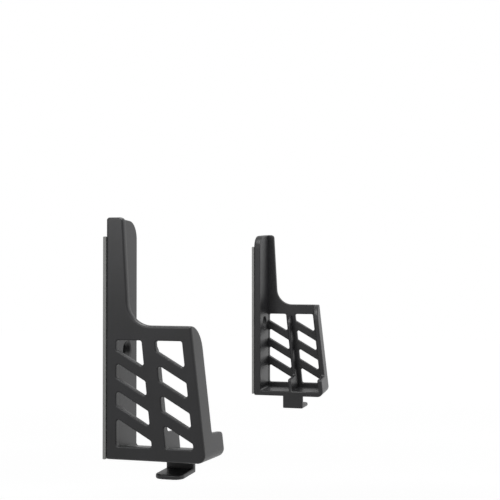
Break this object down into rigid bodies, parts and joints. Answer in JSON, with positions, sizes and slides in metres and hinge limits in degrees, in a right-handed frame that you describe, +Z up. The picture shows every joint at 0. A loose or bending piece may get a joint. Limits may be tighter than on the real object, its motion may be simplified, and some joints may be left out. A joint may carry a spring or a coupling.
{
  "type": "tablet wall mount",
  "caption": "Pair of moulded corner brackets that hold a tablet against a wall by its two lower corners.",
  "frame": {"origin": "on the wall plane, midway between the two screw holes", "axes": "+Z up the wall, +Y into the wall, +X to the right as seen from the front"},
  "size_m": [0.2528, 0.0454, 0.1082],
  "materials": {
    "black_plastic": "satin moulded black",
    "foam_adhesive": "grey closed-cell foam with a release film"
  },
  "bodies": {
    "root": {"left_bracket": "black_plastic", "right_bracket": "black_plastic", "left_adhesive_pad": "foam_adhesive", "right_adhesive_pad": "foam_adhesive"}
  },
  "joints": []
}
